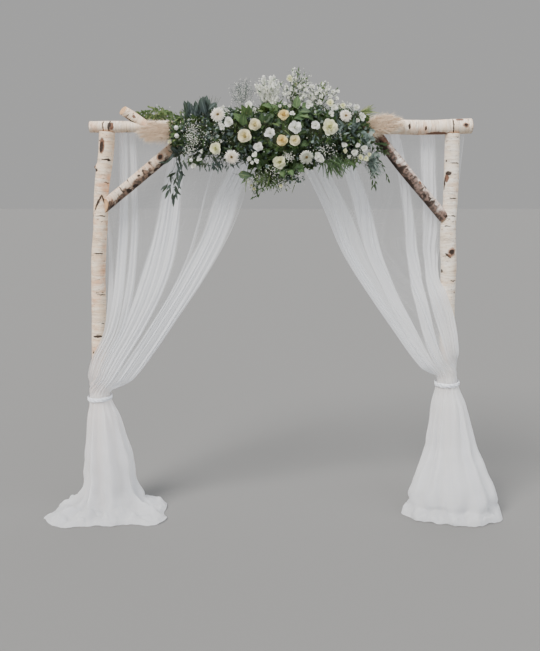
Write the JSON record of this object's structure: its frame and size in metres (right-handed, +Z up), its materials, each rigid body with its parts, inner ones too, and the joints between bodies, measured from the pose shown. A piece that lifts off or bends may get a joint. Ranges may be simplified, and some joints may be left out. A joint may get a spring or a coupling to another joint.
{
  "type": "wooden wedding arch with drapes and flowers",
  "caption": "Free-standing arch of birch logs with slanting braces, a forked crossbeam, tied sheer drapes that puddle on the ground, and flowers with pampas plumes over the beam.",
  "frame": {"origin": "ground level, in the middle of the floor area that the arch covers, cloth included", "axes": "+X to the right along the beam, +Y to the back, +Z up; the flowers face -Y"},
  "size_m": [2.4156, 0.5274, 2.3325],
  "materials": {
    "birch_bark": "cream birch bark with dark lenticels and knots",
    "foot_steel": "matt dark paint",
    "voile": "sheer white voile",
    "ribbon": "white cloth band",
    "leaf": "mixed green leaves",
    "eucalyptus": "grey-green waxy leaves",
    "pampas": "dry beige plume",
    "blossom": "white petals",
    "rose_cream": "cream petals",
    "rose_peach": "peach petals",
    "gerbera": "blush white petals with a brown centre"
  },
  "bodies": {
    "root": {"left_post": "birch_bark", "right_post": "birch_bark", "crossbeam": "birch_bark", "left_brace": "birch_bark", "right_brace": "birch_bark", "left_base_plate": "foot_steel", "right_base_plate": "foot_steel", "left_drape": "voile", "right_drape": "voile", "left_drape_tie": "ribbon", "right_drape_tie": "ribbon", "gerbera_low_left": "gerbera", "gerbera_upper_left": "gerbera", "gerbera_low_right": "gerbera", "gerbera_right": "gerbera", "rose_left": "rose_cream", "rose_cream_left": "rose_cream", "rose_cream_upper": "rose_cream", "rose_peach": "rose_peach", "rose_pair_left": "rose_peach", "rose_pair_right": "rose_cream", "rose_low": "rose_cream", "rose_right": "rose_cream", "ruffled_white": "blossom", "white_left": "blossom", "white_centre": "blossom", "white_bud": "blossom", "white_right": "blossom", "white_low_right": "blossom", "foliage_centre": "leaf", "foliage_left": "leaf", "foliage_right": "leaf", "pampas_left": "pampas", "pampas_right": "pampas", "eucalyptus_upright": "eucalyptus", "gypsophila_spray": "blossom", "larkspur_spray": "blossom", "white_rose_spray": "blossom", "blossom_spray_right": "blossom", "trailing_greens_left": "leaf", "hanging_sprig_left": "eucalyptus", "hanging_sprig_right": "leaf"}
  },
  "joints": []
}
